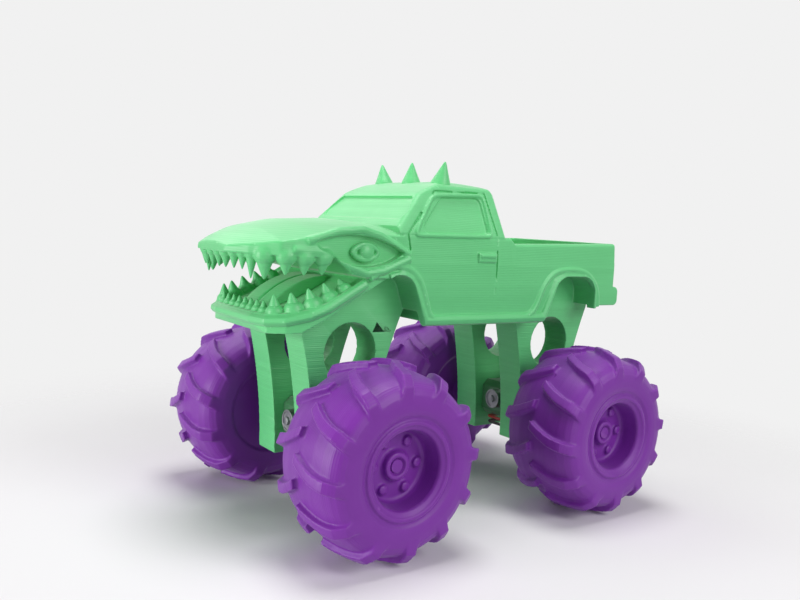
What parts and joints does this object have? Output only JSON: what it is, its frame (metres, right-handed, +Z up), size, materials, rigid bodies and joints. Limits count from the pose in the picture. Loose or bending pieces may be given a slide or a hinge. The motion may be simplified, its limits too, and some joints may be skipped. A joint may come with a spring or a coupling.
{
  "type": "toy monster truck",
  "caption": "Printed toy monster pickup with a toothed animal mouth, open load bed, tall holed legs and wide lugged tyres on turning axles.",
  "frame": {"origin": "on the ground under the middle of the overall length and width", "axes": "+X forward to the snout, +Y to the truck's left, +Z up"},
  "size_m": [0.2136, 0.1566, 0.1635],
  "materials": {
    "green_print": "matte printed layers",
    "purple_print": "matte printed layers",
    "gearbox_print": "matte printed layers",
    "motor_can": "satin",
    "red_lead": "satin",
    "black_lead": "satin"
  },
  "bodies": {
    "truck": {"body_shell": "green_print", "lower_jaw": "green_print", "upper_teeth": "green_print", "lower_teeth": "green_print", "tongue": "green_print", "eye_left": "green_print", "eye_right": "green_print", "roof_spikes": "green_print", "leg_front_left": "green_print", "leg_front_right": "green_print", "leg_rear_left": "green_print", "leg_rear_right": "green_print", "gearbox_front": "gearbox_print", "gearbox_rear": "gearbox_print", "motor_front": "motor_can", "motor_rear": "motor_can", "lead_red_front": "red_lead", "lead_black_front": "black_lead", "lead_red_rear": "red_lead", "lead_black_rear": "black_lead"},
    "front_axle_set": {"axle_front": "purple_print", "wheel_front_left": "purple_print", "wheel_front_right": "purple_print"},
    "rear_axle_set": {"axle_rear": "purple_print", "wheel_rear_left": "purple_print", "wheel_rear_right": "purple_print"}
  },
  "joints": [
    {"name": "front_axle_spin", "type": "hinge", "parent": "truck", "child": "front_axle_set", "pos_m": [0.05615, 0, 0.03991], "axis": [0, 1, 0], "continuous": true},
    {"name": "rear_axle_spin", "type": "hinge", "parent": "truck", "child": "rear_axle_set", "pos_m": [-0.06685, 0, 0.03991], "axis": [0, 1, 0], "continuous": true}
  ]
}
